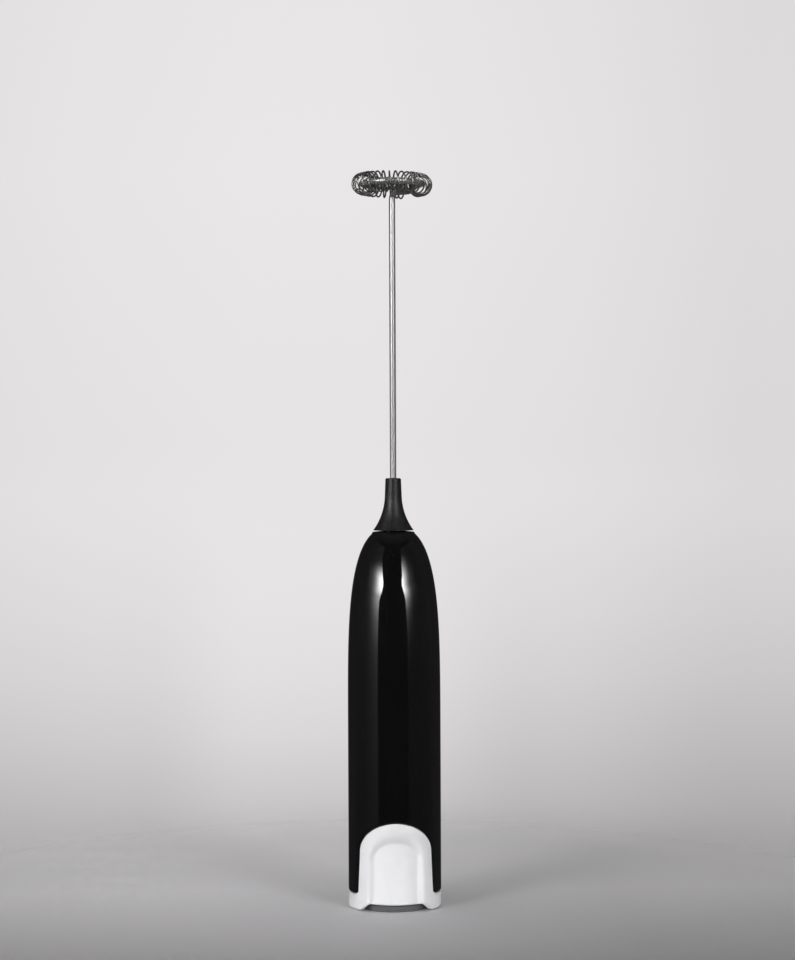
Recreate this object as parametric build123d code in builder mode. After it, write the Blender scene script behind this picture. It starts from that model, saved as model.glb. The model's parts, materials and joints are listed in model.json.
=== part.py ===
"""Milk frother standing on its foot, whisk up. Millimetres, +Z up, origin at the centre of the foot."""

import os
from math import asin, cos, degrees, radians, sin, sqrt, tan

from build123d import *

os.makedirs("parts", exist_ok=True)

# ---------------------------------------------------------------- driving dimensions

# Handle shell: a cylinder that runs out into a domed nose.
BODY_R = 16.25
SHELL_WALL = 1.3
SHELL_Z0 = 5.75
SHELL_TOP_Z = 131.15
NOSE_Z0 = 59.75
NOSE_LENGTH = 73.15
NOSE_ROUND = 3.93
NOSE_FULLNESS = 2.73
NOSE_BORE_R = 2.6
LID_RISE = 0.3

# Arch-shaped cut-out in the shell and the pad that fills it.
ARCH_W = 12.5
ARCH_FOOT_W = 13.1
ARCH_SPRING_Z = 20.85
ARCH_RISE = 10.25
PAD_SIDE_GAP = 0.15
PAD_TOP_GAP = 0.2

# Foot ring, pad and thumb recess.
FOOT_Z0 = 0.1
FOOT_H = 5.55
FOOT_WALL = 2.4
FOOT_ROUND = 1.0
PAD_WALL = 1.5
RECESS_R = 13.75
RECESS_TOP_Z = 28.35
RECESS_W = 9.1
RECESS_FLOOR_TOP_Z = 23.75
RECESS_FLOOR_W = 7.4
NOTCH_Z = 2.2
PIVOT_Y = -5.0
PIVOT_Z = 3.0
PIVOT_R = 1.0
PIVOT_CLEARANCE = 0.05
PIVOT_END = 14.3
PRESS_ANGLE = 1.5
LIP_R = 14.5
LIP_Z0 = 28.65
LIP_ROOT_Z1 = 29.75
LIP_Z1 = 33.25
LIP_HALF_W = 5.0
BRIDGE_Y = -9.6
BRIDGE_Z = 26.85
BUTTON_SPRING_Z = 14.45

# Batteries, size AA.
CELL_R = 7.0
CELL_X = 7.15
CELL_Z0 = 37.45
CELL_FLIPPED_Z0 = 34.85
CELL_LENGTH = 50.5
NUB_LENGTH = 1.2
SLEEVE = 0.1

# Battery frame.
FRAME_R = 14.4
DECK_Z0 = 31.65
DECK_H = 2.4
DECK_FRONT = 10.8
TOP_DECK_Z0 = 88.65
TOP_DECK_H = 1.6
SPINE_W = 2.8
SPINE_Y0 = 6.6
APRON_Y = -3.0
APRON_T = 1.4
APRON_Z0 = 10.45
ARM_X0 = 10.3
ARM_X1 = 11.5
ARM_W = 3.2
ARM_Z0 = 0.6
BASE_R = 13.2
BASE_BORE_R = 10.0
BASE_H = 2.0

# Contacts.
CONTACT_T = 0.3
CONTACT_R = 4.6
TAB_X = 3.4
TAB_W = 2.8
TAB_Y = -8.6
TAB_Z0 = 25.05
RIVET_R = 1.2
SPRING_WIRE_R = 0.3

# Motor.
MOTOR_R = 10.05
MOTOR_FLAT_Y = 7.55
MOTOR_Z0 = 97.05
MOTOR_Z1 = 121.45
CAN_T = 0.8
MAGNET_T = 2.4
SHAFT_R = 1.0
SHAFT_Z0 = 94.05
SHAFT_Z1 = 141.45
MOTOR_BOSS_R = 3.1
BUSHING_R = 2.5
BUSHING_CLEARANCE = 0.03
SEAL_CLEARANCE = 0.06
MAGNET_Z0 = 102.45
MAGNET_Z1 = 117.45
MAGNET_HALF_Y = 5.4
ARMATURE_R = 6.0
CORE_Z0 = 104.45
CORE_Z1 = 115.45
HUB_R = 2.2
STEM_W = 1.8
WINDING_T = 1.2
COMMUTATOR_R = 2.2
COMMUTATOR_Z0 = 98.75
COMMUTATOR_Z1 = 102.45
BRUSH_X0 = 2.3
BRUSH_X1 = 3.9
BRUSH_H = 2.4
TERMINAL_X = 5.6
TERMINAL_W = 2.6
TERMINAL_Z0 = 93.05

# Motor carrier.
BOSS_Y = 12.0
FLANGE_Z0 = 92.45
FLANGE_Z1 = 95.05
SCREW_R = 0.8
STRIP_X = 5.8
STRIP_Z = 91.1

# Whisk.
COLLAR_Z0 = 131.65
COLLAR_Z1 = 149.85
COLLAR_FOOT_R = 6.95
COLLAR_WAIST_Z = 143.41
COLLAR_WAIST_R = 2.97
COLLAR_CURVE_R = 21.25
COLLAR_TOP_R = 2.72
HUB_SKIRT_R = 2.3
ROD_R = 1.1
ROD_Z0 = 141.85
ROD_TOP_Z = 249.65
RING_R = 10.4
RING_Z = 252.75
COIL_R = 3.53
COIL_WIRE_R = 0.3
COIL_TURNS = 31
SPOKE_ANGLE = 50
SPOKE_END_Z = 251.05
RING_START = 28
RING_SPAN = 326
SPRING_START = 34
SPRING_SPAN = 330
GRIP_STEP = 6


def nose_radius(z, inset=0.0):
    """Outer radius of the handle at height z, or of the same outline set in by inset."""
    rise = max(z - NOSE_Z0, 0) / (NOSE_LENGTH - inset)
    return (BODY_R - inset) * (1 - rise**NOSE_ROUND) ** (1 / NOSE_FULLNESS)


def nose_outline(top_z, inset=0.0, steps=9):
    """Points up the nose from its foot to top_z, closer together towards the top."""
    fractions = [sin(radians(90 * k / steps)) for k in range(steps + 1)]
    heights = [NOSE_Z0 + (top_z - NOSE_Z0) * f for f in fractions]
    return [(nose_radius(z, inset), z) for z in heights]


def arch_sketch(plane, grow=0.0, top_grow=0.0, foot_z=-10.0):
    """Face of the arch on an upright plane, in x and z: straight flanks, elliptical top."""
    flare = (ARCH_FOOT_W - ARCH_W) / (ARCH_SPRING_Z - SHELL_Z0)
    foot_w = ARCH_FOOT_W + flare * (SHELL_Z0 - foot_z)
    with BuildSketch(plane) as arch:
        with Locations((0, ARCH_SPRING_Z)):
            Ellipse(ARCH_W + grow, ARCH_RISE + top_grow)
        with BuildLine():
            Polyline(
                (-foot_w - grow, foot_z),
                (foot_w + grow, foot_z),
                (ARCH_W + grow, ARCH_SPRING_Z),
                (-ARCH_W - grow, ARCH_SPRING_Z),
                close=True,
            )
        make_face()
    return arch.sketch


FRONT = Plane(origin=(0, -20, 0), x_dir=(1, 0, 0), z_dir=(0, -1, 0))


def write(piece, name):
    """Labels a finished piece and writes its STEP."""
    piece.part.label = name
    export_step(piece.part, f"parts/{name}.step")


# ---------------------------------------------------------------- handle shell


def make_handle_shell():
    inner_top_z = SHELL_TOP_Z - 1.6
    corner = 0.7
    with BuildPart() as handle_shell:
        with BuildSketch(Plane.XZ):
            with BuildLine():
                outer = Spline(nose_outline(SHELL_TOP_Z - corner), tangents=[(0, 1), (-0.75, 1)])
                shoulder = JernArc(start=outer @ 1, tangent=outer % 1, radius=corner, arc_size=52)
                lid = Line(shoulder @ 1, (NOSE_BORE_R, SHELL_TOP_Z + LID_RISE))
                bore = Line(lid @ 1, (NOSE_BORE_R, inner_top_z))
                ceiling = Line(bore @ 1, (nose_radius(inner_top_z, SHELL_WALL), inner_top_z))
                inner = Spline(nose_outline(inner_top_z, SHELL_WALL)[::-1])
                Line(inner @ 1, (BODY_R - SHELL_WALL, SHELL_Z0))
                Line((BODY_R - SHELL_WALL, SHELL_Z0), (BODY_R, SHELL_Z0))
                Line((BODY_R, SHELL_Z0), (BODY_R, NOSE_Z0))
            make_face()
        revolve(axis=Axis.Z)
        # Two screw bosses in the nose take the motor carrier.
        with BuildSketch(Plane.XY.offset(FLANGE_Z1)):
            with Locations((0, BOSS_Y), (0, -BOSS_Y)):
                Circle(2.4)
        extrude(amount=11.4)
        with BuildSketch(Plane.XY.offset(FLANGE_Z1)):
            with Locations((0, BOSS_Y), (0, -BOSS_Y)):
                Circle(0.8)
        extrude(amount=9.0, mode=Mode.SUBTRACT)
        # The arch-shaped cut-out that the thumb pad fills.
        extrude(arch_sketch(FRONT, grow=PAD_SIDE_GAP, top_grow=PAD_SIDE_GAP), amount=-14, mode=Mode.SUBTRACT)
    write(handle_shell, "handle_shell")


# ---------------------------------------------------------------- thumb button


def recess_sketch(plane, half_width, top_z):
    """Arch outline of the thumb recess on an upright plane."""
    spring_z = top_z - half_width
    with BuildSketch(plane) as outline:
        with Locations((0, spring_z)):
            Circle(half_width)
        with Locations((0, (spring_z - 10) / 2)):
            Rectangle(2 * half_width, spring_z + 10)
    return outline.sketch


def make_thumb_button():
    wall_y = sqrt(BODY_R**2 - RECESS_W**2)
    floor_y = sqrt(RECESS_R**2 - RECESS_FLOOR_W**2)
    side_slope = (RECESS_W - RECESS_FLOOR_W) / (wall_y - floor_y)
    top_slope = (RECESS_TOP_Z - RECESS_FLOOR_TOP_Z) / (BODY_R - RECESS_R)
    rear_top_z = RECESS_TOP_Z - top_slope * (BODY_R - floor_y)
    front_w = RECESS_W + side_slope * (BODY_R - wall_y)
    recess_front = recess_sketch(FRONT.offset(-20 + BODY_R), front_w, RECESS_TOP_Z)
    recess_rear = recess_sketch(FRONT.offset(-20 + floor_y), RECESS_FLOOR_W, rear_top_z)
    back_front = recess_sketch(FRONT.offset(-20 + BODY_R), front_w + PAD_WALL, RECESS_TOP_Z + PAD_WALL)
    back_rear = recess_sketch(FRONT.offset(-20 + floor_y - PAD_WALL), RECESS_FLOOR_W, rear_top_z)

    with BuildPart() as recess:
        loft([recess_front, recess_rear])
        Cylinder(RECESS_R, 80, mode=Mode.SUBTRACT)
    with BuildPart() as recess_backing:
        loft([back_front, back_rear])
        Cylinder(RECESS_R - PAD_WALL, 80, mode=Mode.SUBTRACT)
        Cylinder(BODY_R, 80, mode=Mode.INTERSECT)

    with BuildPart() as thumb_button:
        # Pad: the front of a tube, trimmed to the arch.
        with BuildSketch(Plane.XY):
            Circle(BODY_R)
            Circle(BODY_R - PAD_WALL - 0.2, mode=Mode.SUBTRACT)
        extrude(amount=40)
        pad_face = arch_sketch(FRONT, -PAD_SIDE_GAP, -PAD_TOP_GAP, foot_z=FOOT_Z0)
        extrude(pad_face, amount=-14, mode=Mode.INTERSECT)
        add(recess_backing.part)
        with Locations((0, 0, FOOT_Z0 + 50)):
            Box(60, 60, 100, mode=Mode.INTERSECT)
        # Foot ring, open underneath.
        with BuildSketch(Plane.XY.offset(FOOT_Z0)):
            Circle(BODY_R)
            Circle(BODY_R - FOOT_WALL, mode=Mode.SUBTRACT)
        extrude(amount=FOOT_H - FOOT_Z0)
        foot_edges = thumb_button.edges().filter_by(GeomType.CIRCLE).group_by(Axis.Z)[0]
        fillet(foot_edges.sort_by(SortBy.RADIUS)[-1], FOOT_ROUND)
        # Lip behind the shell's edge, and the post that carries the contact bridge.
        for outer_r, top_z in ((LIP_R, LIP_Z1), (BODY_R - 1.0, LIP_ROOT_Z1)):
            with BuildSketch(Plane.XY.offset(LIP_Z0)):
                Circle(outer_r)
                Circle(LIP_R - 1.1, mode=Mode.SUBTRACT)
                with Locations((0, -BODY_R)):
                    Rectangle(2 * LIP_HALF_W, BODY_R, mode=Mode.INTERSECT)
            extrude(amount=top_z - LIP_Z0)
        with Locations((0, (BRIDGE_Y - BODY_R + 2) / 2, BRIDGE_Z)):
            Box(6, BODY_R - 2 + BRIDGE_Y, 2.6)
        # Thumb recess, run out at the bottom, with the notch under its floor.
        add(recess.part, mode=Mode.SUBTRACT)
        with Locations((0, -BODY_R, 0)):
            Box(2 * RECESS_FLOOR_W + 0.8, 14, 2 * NOTCH_Z, mode=Mode.SUBTRACT)
        # Room for the sled's base, and a rear underside that clears the table while the pad is pressed.
        Cylinder(BASE_R + 0.45, 2 * BASE_H + 0.3, mode=Mode.SUBTRACT)
        rear_y = BODY_R + 1
        rear_z = FOOT_Z0 + (rear_y - PIVOT_Y) * tan(radians(PRESS_ANGLE))
        with BuildSketch(Plane.YZ.offset(-BODY_R - 1)):
            with BuildLine():
                Polyline((PIVOT_Y, FOOT_Z0), (rear_y, rear_z), (rear_y, -1), (PIVOT_Y, -1), close=True)
            make_face()
        extrude(amount=2 * BODY_R + 2, mode=Mode.SUBTRACT)
        # Blind pivot holes in the ring, left and right.
        with BuildSketch(Plane.YZ.offset(-PIVOT_END - 0.2)):
            with Locations((PIVOT_Y, PIVOT_Z)):
                Circle(PIVOT_R + PIVOT_CLEARANCE)
        extrude(amount=2 * PIVOT_END + 0.4, mode=Mode.SUBTRACT)
    write(thumb_button, "thumb_button")


def make_contact_bridge():
    with BuildPart() as contact_bridge:
        with Locations((0, BRIDGE_Y + CONTACT_T / 2, BRIDGE_Z)):
            Box(10, CONTACT_T, 3.6)
    write(contact_bridge, "contact_bridge")


# ---------------------------------------------------------------- battery sled


def make_battery_frame():
    deck_top_z = DECK_Z0 + DECK_H
    with BuildPart() as battery_frame:
        # Lower deck under the cells, trimmed clear of the thumb pad, and the upper deck.
        with BuildSketch(Plane.XY.offset(DECK_Z0)):
            Circle(FRAME_R)
            with Locations((0, -FRAME_R - DECK_FRONT)):
                Rectangle(2 * FRAME_R, 2 * FRAME_R, mode=Mode.SUBTRACT)
        extrude(amount=DECK_H)
        with BuildSketch(Plane.XY.offset(TOP_DECK_Z0)):
            Circle(FRAME_R)
        extrude(amount=TOP_DECK_H)
        # Spines in the two hollows between the cells.
        for side, foot_z in ((1, DECK_Z0), (-1, deck_top_z + CONTACT_T + 0.1)):
            with BuildSketch(Plane.XY.offset(foot_z)):
                Circle(FRAME_R - 0.2)
                with Locations((0, side * (SPINE_Y0 + FRAME_R) / 2)):
                    Rectangle(2 * SPINE_W, FRAME_R - SPINE_Y0, mode=Mode.INTERSECT)
            extrude(amount=TOP_DECK_Z0 - foot_z)
        with Locations((0, -(SPINE_Y0 + DECK_FRONT) / 2, deck_top_z)):
            Box(3.4, DECK_FRONT - SPINE_Y0, 1.0)
        # Apron and two arms that reach down to the thumb button's pivots.
        with Locations((0, APRON_Y, (DECK_Z0 + APRON_Z0) / 2)):
            Box(2 * ARM_X1, APRON_T, DECK_Z0 - APRON_Z0)
        for side in (-1, 1):
            with Locations((side * (ARM_X0 + ARM_X1) / 2, PIVOT_Y, (DECK_Z0 + ARM_Z0) / 2)):
                Box(ARM_X1 - ARM_X0, ARM_W, DECK_Z0 - ARM_Z0)
        with BuildSketch(Plane.YZ.offset(-BODY_R)):
            with Locations((PIVOT_Y, PIVOT_Z)):
                Circle(PIVOT_R)
        extrude(amount=2 * BODY_R, mode=Mode.SUBTRACT)
        # Base ring inside the foot, which the whole frother stands on.
        with BuildSketch():
            Circle(BASE_R)
            Circle(BASE_BORE_R, mode=Mode.SUBTRACT)
        extrude(amount=BASE_H)
        base_edges = battery_frame.edges().filter_by(GeomType.CIRCLE).group_by(Axis.Z)[0]
        fillet(base_edges.sort_by(SortBy.RADIUS)[-1], 0.3)
        # Seat for the return spring, slots for the switch tabs, holes for the upper rivets.
        with BuildSketch(Plane.XZ.offset(-APRON_Y)):
            with Locations((0, BUTTON_SPRING_Z)):
                Circle(1.4)
        extrude(amount=2.2)
        with GridLocations(2 * TAB_X, 1, 2, 1):
            with Locations((0, TAB_Y + CONTACT_T / 2, DECK_Z0)):
                Box(TAB_W + 0.3, CONTACT_T + 0.3, 3 * DECK_H, mode=Mode.SUBTRACT)
        with Locations((-CELL_X, 0, TOP_DECK_Z0), (CELL_X, 0, TOP_DECK_Z0)):
            Cylinder(RIVET_R, 4 * TOP_DECK_H, mode=Mode.SUBTRACT)
    write(battery_frame, "battery_frame")


def make_cells():
    for name, side, z0, nub_up in (("left", -1, CELL_Z0, True), ("right", 1, CELL_FLIPPED_Z0, False)):
        can_z0 = z0 if nub_up else z0 + NUB_LENGTH
        can_length = CELL_LENGTH - NUB_LENGTH
        nub_z = can_z0 + can_length if nub_up else z0
        with BuildPart(Plane.XY.offset(can_z0)) as battery:
            with BuildSketch(Plane.XY.offset(can_z0)):
                with Locations((side * CELL_X, 0)):
                    Circle(CELL_R)
            extrude(amount=can_length)
            chamfer(battery.edges().filter_by(GeomType.CIRCLE), 0.4)
            with BuildSketch(Plane.XY.offset(nub_z)):
                with Locations((side * CELL_X, 0)):
                    Circle(2.7)
            extrude(amount=NUB_LENGTH)
        write(battery, f"battery_{name}")
        with BuildPart() as battery_sleeve:
            with BuildSketch(Plane.XY.offset(can_z0 + 0.6)):
                with Locations((side * CELL_X, 0)):
                    Circle(CELL_R + SLEEVE)
                    Circle(CELL_R, mode=Mode.SUBTRACT)
            extrude(amount=can_length - 1.2)
        write(battery_sleeve, f"battery_sleeve_{name}")


def make_lower_contacts():
    deck_top_z = DECK_Z0 + DECK_H
    for name, side in (("left", -1), ("right", 1)):
        with BuildPart() as lower_contact:
            with BuildSketch(Plane.XY.offset(deck_top_z)):
                with Locations((side * CELL_X, 0)):
                    Circle(CONTACT_R)
                with BuildLine():
                    Polyline(
                        (side * CELL_X, -2),
                        (side * CELL_X, -CONTACT_R),
                        (side * (TAB_X + TAB_W / 2), TAB_Y),
                        (side * (TAB_X - TAB_W / 2), TAB_Y),
                        (side * (TAB_X - TAB_W / 2), -2),
                        close=True,
                    )
                make_face()
            extrude(amount=CONTACT_T)
            with Locations((side * TAB_X, TAB_Y + CONTACT_T / 2, (deck_top_z + CONTACT_T + TAB_Z0) / 2)):
                Box(TAB_W, CONTACT_T, deck_top_z + CONTACT_T - TAB_Z0)
            if side > 0:
                with BuildSketch(Plane.XY.offset(deck_top_z + CONTACT_T)):
                    with Locations((side * CELL_X, 0)):
                        Circle(2.0)
                extrude(amount=CELL_FLIPPED_Z0 - deck_top_z - CONTACT_T)
        write(lower_contact, f"lower_contact_{name}")


def make_upper_contacts():
    rivet_top_z = TOP_DECK_Z0 + TOP_DECK_H + 0.7
    for name, side in (("left", -1), ("right", 1)):
        with BuildPart() as upper_contact:
            with BuildSketch(Plane.XY.offset(TOP_DECK_Z0 - CONTACT_T)):
                with Locations((side * CELL_X, 0)):
                    Circle(CONTACT_R)
            extrude(amount=CONTACT_T)
            with BuildSketch(Plane.XY.offset(TOP_DECK_Z0)):
                with Locations((side * CELL_X, 0)):
                    Circle(RIVET_R)
            extrude(amount=rivet_top_z - TOP_DECK_Z0)
            with BuildSketch(Plane.XY.offset(TOP_DECK_Z0 + TOP_DECK_H)):
                with Locations((side * CELL_X, 0)):
                    Circle(RIVET_R + 1.0)
            extrude(amount=0.7)
            fillet(upper_contact.edges().group_by(Axis.Z)[-1], 0.3)
            if side < 0:
                with BuildSketch(Plane.XY.offset(CELL_Z0 + CELL_LENGTH)):
                    with Locations((side * CELL_X, 0)):
                        Circle(2.0)
                extrude(amount=TOP_DECK_Z0 - CONTACT_T - CELL_Z0 - CELL_LENGTH)
        write(upper_contact, f"upper_contact_{name}")


def wire_coil(origin, z_dir, height, radius, turns, wire_r):
    """A helical wire spring standing on origin along z_dir."""
    with BuildPart() as spring:
        with BuildLine() as route:
            Helix(pitch=height / turns, height=height, radius=radius, center=origin, direction=z_dir)
        with BuildSketch(Plane(origin=route.line @ 0, z_dir=route.line % 0)):
            Circle(wire_r)
        sweep(path=route.line, is_frenet=True)
    return spring


def make_springs():
    deck_top_z = DECK_Z0 + DECK_H + CONTACT_T + SPRING_WIRE_R
    left_height = CELL_Z0 - deck_top_z - SPRING_WIRE_R
    left = wire_coil((-CELL_X, 0, deck_top_z), (0, 0, 1), left_height, 4.0, 3, SPRING_WIRE_R)
    write(left, "battery_spring_left")
    right_z0 = CELL_FLIPPED_Z0 + CELL_LENGTH + SPRING_WIRE_R
    right_height = TOP_DECK_Z0 - CONTACT_T - right_z0 - SPRING_WIRE_R
    right = wire_coil((CELL_X, 0, right_z0), (0, 0, 1), right_height, 4.0, 3, SPRING_WIRE_R)
    write(right, "battery_spring_right")
    seat_y = APRON_Y - APRON_T / 2 - SPRING_WIRE_R
    pad_y = -(RECESS_R - PAD_WALL) + 0.6
    button = wire_coil((0, seat_y, BUTTON_SPRING_Z), (0, -1, 0), seat_y - pad_y, 1.9, 6, SPRING_WIRE_R)
    write(button, "button_spring")


def make_pivot_pins():
    with BuildPart() as pivot_pins:
        for side in (-1, 1):
            with BuildSketch(Plane.YZ.offset(side * ARM_X0)):
                with Locations((PIVOT_Y, PIVOT_Z)):
                    Circle(PIVOT_R)
            extrude(amount=side * (PIVOT_END - ARM_X0))
    write(pivot_pins, "pivot_pins")


# ---------------------------------------------------------------- motor, fixed parts


def can_outline(plane, grow=0.0, hole=None):
    """Round can with two flats, as a face; hole is the wall left around an inner opening."""
    with BuildSketch(plane) as outline:
        Circle(MOTOR_R + grow)
        Rectangle(2 * (MOTOR_R + grow), 2 * (MOTOR_FLAT_Y + grow), mode=Mode.INTERSECT)
        if hole is not None:
            with BuildSketch(mode=Mode.SUBTRACT):
                Circle(MOTOR_R + grow - hole)
                Rectangle(2 * (MOTOR_R + grow), 2 * (MOTOR_FLAT_Y + grow - hole), mode=Mode.INTERSECT)
    return outline.sketch


def make_motor_carrier():
    with BuildPart() as motor_carrier:
        with BuildSketch(Plane.XY.offset(FLANGE_Z0)):
            Circle(FRAME_R - 0.1)
            Circle(3.4, mode=Mode.SUBTRACT)
            with Locations((-STRIP_X, 0), (STRIP_X, 0)):
                Rectangle(1.8, 4.6, mode=Mode.SUBTRACT)
            with Locations((0, BOSS_Y), (0, -BOSS_Y)):
                Circle(SCREW_R + 0.15, mode=Mode.SUBTRACT)
        extrude(amount=FLANGE_Z1 - FLANGE_Z0)
        extrude(can_outline(Plane.XY.offset(FLANGE_Z1), grow=1.3, hole=1.2), amount=15)
    write(motor_carrier, "motor_carrier")


def make_carrier_screws():
    with BuildPart() as carrier_screws:
        for y in (-BOSS_Y, BOSS_Y):
            with BuildSketch(Plane.XY.offset(FLANGE_Z0 - 1.1)):
                with Locations((0, y)):
                    Circle(1.8)
            extrude(amount=1.1)
            with BuildSketch(Plane.XY.offset(FLANGE_Z0)):
                with Locations((0, y)):
                    Circle(SCREW_R)
            extrude(amount=8)
        fillet(carrier_screws.edges().group_by(Axis.Z)[0], 0.5)
        with BuildSketch(Plane.XY.offset(FLANGE_Z0 - 1.1)):
            with Locations((0, BOSS_Y), (0, -BOSS_Y)):
                Rectangle(2.2, 0.4)
                Rectangle(0.4, 2.2)
        extrude(amount=0.6, mode=Mode.SUBTRACT)
    write(carrier_screws, "carrier_screws")


def make_motor_can():
    with BuildPart() as motor_can:
        extrude(can_outline(Plane.XY.offset(MOTOR_Z0)), amount=MOTOR_Z1 - MOTOR_Z0)
        fillet(motor_can.edges().group_by(Axis.Z)[-1], 0.7)
        cavity = can_outline(Plane.XY.offset(MOTOR_Z0), grow=-CAN_T)
        extrude(cavity, amount=MOTOR_Z1 - MOTOR_Z0 - CAN_T, mode=Mode.SUBTRACT)
        with BuildSketch(Plane.XY.offset(MOTOR_Z1)):
            Circle(MOTOR_BOSS_R)
        extrude(amount=1.6)
        with BuildSketch(Plane.XY.offset(MOTOR_Z1 - CAN_T)):
            Circle(BUSHING_R)
        extrude(amount=4, mode=Mode.SUBTRACT)
    write(motor_can, "motor_can")


def make_motor_magnets():
    with BuildPart() as motor_magnets:
        with BuildSketch(Plane.XY.offset(MAGNET_Z0)):
            Circle(MOTOR_R - CAN_T)
            Circle(MOTOR_R - CAN_T - MAGNET_T, mode=Mode.SUBTRACT)
            Rectangle(2 * MOTOR_R, 2 * MAGNET_HALF_Y, mode=Mode.INTERSECT)
        extrude(amount=MAGNET_Z1 - MAGNET_Z0)
    write(motor_magnets, "motor_magnets")


def make_motor_end_bell():
    with BuildPart() as motor_end_bell:
        extrude(can_outline(Plane.XY.offset(FLANGE_Z1)), amount=MOTOR_Z0 - FLANGE_Z1)
        extrude(can_outline(Plane.XY.offset(MOTOR_Z0), grow=-CAN_T - 0.05), amount=1.2)
        with BuildSketch(Plane.XY.offset(FLANGE_Z1)):
            Circle(BUSHING_R)
            with Locations((-TERMINAL_X, 0), (TERMINAL_X, 0)):
                Rectangle(CONTACT_T, TERMINAL_W)
        extrude(amount=6, mode=Mode.SUBTRACT)
    write(motor_end_bell, "motor_end_bell")


def make_motor_bushings():
    with BuildPart() as motor_bushings:
        for z0, z1 in ((FLANGE_Z1, MOTOR_Z0 + 1.2), (MOTOR_Z1 - CAN_T, MOTOR_Z1 + 1.6)):
            with BuildSketch(Plane.XY.offset(z0)):
                Circle(BUSHING_R)
                Circle(SHAFT_R + BUSHING_CLEARANCE, mode=Mode.SUBTRACT)
            extrude(amount=z1 - z0)
    write(motor_bushings, "motor_bushings")


def make_motor_terminals():
    """Brass tabs through the end bell, each with an arm that holds a brush."""
    arm_z = COMMUTATOR_Z0 + 0.4
    with BuildPart() as motor_terminals:
        for side in (-1, 1):
            with Locations((side * TERMINAL_X, 0, (TERMINAL_Z0 + arm_z) / 2)):
                Box(CONTACT_T, TERMINAL_W, arm_z - TERMINAL_Z0)
            with Locations((side * (TERMINAL_X + BRUSH_X1) / 2, 0, arm_z)):
                Box(TERMINAL_X - BRUSH_X1 + CONTACT_T, TERMINAL_W, CONTACT_T)
            with Locations((side * (BRUSH_X1 + CONTACT_T / 2), 0, arm_z + BRUSH_H / 2)):
                Box(CONTACT_T, TERMINAL_W, BRUSH_H + CONTACT_T)
    write(motor_terminals, "motor_terminals")


def make_motor_brushes():
    with BuildPart() as motor_brushes:
        for side in (-1, 1):
            with Locations((side * (BRUSH_X0 + BRUSH_X1) / 2, 0, COMMUTATOR_Z0 + 0.8 + BRUSH_H / 2)):
                Box(BRUSH_X1 - BRUSH_X0, 2.0, BRUSH_H - 0.4)
    write(motor_brushes, "motor_brushes")


def make_supply_strips():
    """Brass leaves under the carrier that meet the upper rivets and rise to the motor's terminals."""
    leg_x = TERMINAL_X + CONTACT_T
    with BuildPart() as supply_strips:
        for side in (-1, 1):
            with Locations((side * (leg_x - CONTACT_T / 2 + 9.6) / 2, 0, STRIP_Z + CONTACT_T / 2)):
                Box(9.6 - leg_x + CONTACT_T / 2, 4.0, CONTACT_T)
            with Locations((side * leg_x, 0, (STRIP_Z + FLANGE_Z1) / 2)):
                Box(CONTACT_T, 4.0, FLANGE_Z1 - STRIP_Z)
    write(supply_strips, "supply_strips")


def make_nose_seal():
    ceiling_z = SHELL_TOP_Z - 1.6
    with BuildPart() as nose_seal:
        with BuildSketch(Plane.XY.offset(ceiling_z)):
            Circle(NOSE_BORE_R)
        extrude(amount=1.6 + LID_RISE - 0.1)
        with BuildSketch(Plane.XY.offset(ceiling_z - 0.7)):
            Circle(4.0)
        extrude(amount=0.7)
        with BuildSketch(Plane.XY.offset(ceiling_z - 2)):
            Circle(SHAFT_R + SEAL_CLEARANCE)
        extrude(amount=5, mode=Mode.SUBTRACT)
    write(nose_seal, "nose_seal")


# ---------------------------------------------------------------- rotor


def make_motor_shaft():
    with BuildPart() as motor_shaft:
        with BuildSketch(Plane.XY.offset(SHAFT_Z0)):
            Circle(SHAFT_R)
        extrude(amount=SHAFT_Z1 - SHAFT_Z0)
        chamfer(motor_shaft.edges().filter_by(GeomType.CIRCLE), 0.2)
    write(motor_shaft, "motor_shaft")


def make_armature_core():
    """Stack with a hub, three stems and three curved pole shoes."""
    with BuildPart() as armature_core:
        with BuildSketch(Plane.XY.offset(CORE_Z0)):
            Circle(ARMATURE_R)
            Circle(ARMATURE_R - 1.1, mode=Mode.SUBTRACT)
            with PolarLocations(ARMATURE_R, 3, start_angle=60):
                Rectangle(5, 1.2, mode=Mode.SUBTRACT)
            with PolarLocations((ARMATURE_R - 0.5) / 2, 3):
                Rectangle(ARMATURE_R - 0.5, STEM_W)
            Circle(HUB_R)
            Circle(SHAFT_R, mode=Mode.SUBTRACT)
        extrude(amount=CORE_Z1 - CORE_Z0)
    write(armature_core, "armature_core")


def make_armature_windings():
    """One closed bobbin of wire around each stem."""
    depth = 2.1
    height = CORE_Z1 - CORE_Z0
    with BuildPart() as armature_windings:
        with PolarLocations(HUB_R + 0.05 + depth / 2, 3):
            with Locations((0, 0, (CORE_Z0 + CORE_Z1) / 2)):
                Box(depth, STEM_W + 2 * WINDING_T, height + 2 * WINDING_T)
        fillet(armature_windings.edges().filter_by(Axis.Z), 0.5)
        with PolarLocations(HUB_R + 0.05 + depth / 2, 3):
            with Locations((0, 0, (CORE_Z0 + CORE_Z1) / 2)):
                Box(2 * depth, STEM_W, height, mode=Mode.SUBTRACT)
    write(armature_windings, "armature_windings")


def make_commutator():
    with BuildPart() as commutator:
        with BuildSketch(Plane.XY.offset(COMMUTATOR_Z0)):
            Circle(COMMUTATOR_R)
            Circle(SHAFT_R, mode=Mode.SUBTRACT)
            with PolarLocations(COMMUTATOR_R, 3, start_angle=60):
                Rectangle(1.0, 0.25, mode=Mode.SUBTRACT)
        extrude(amount=COMMUTATOR_Z1 - COMMUTATOR_Z0)
    write(commutator, "commutator")


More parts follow.
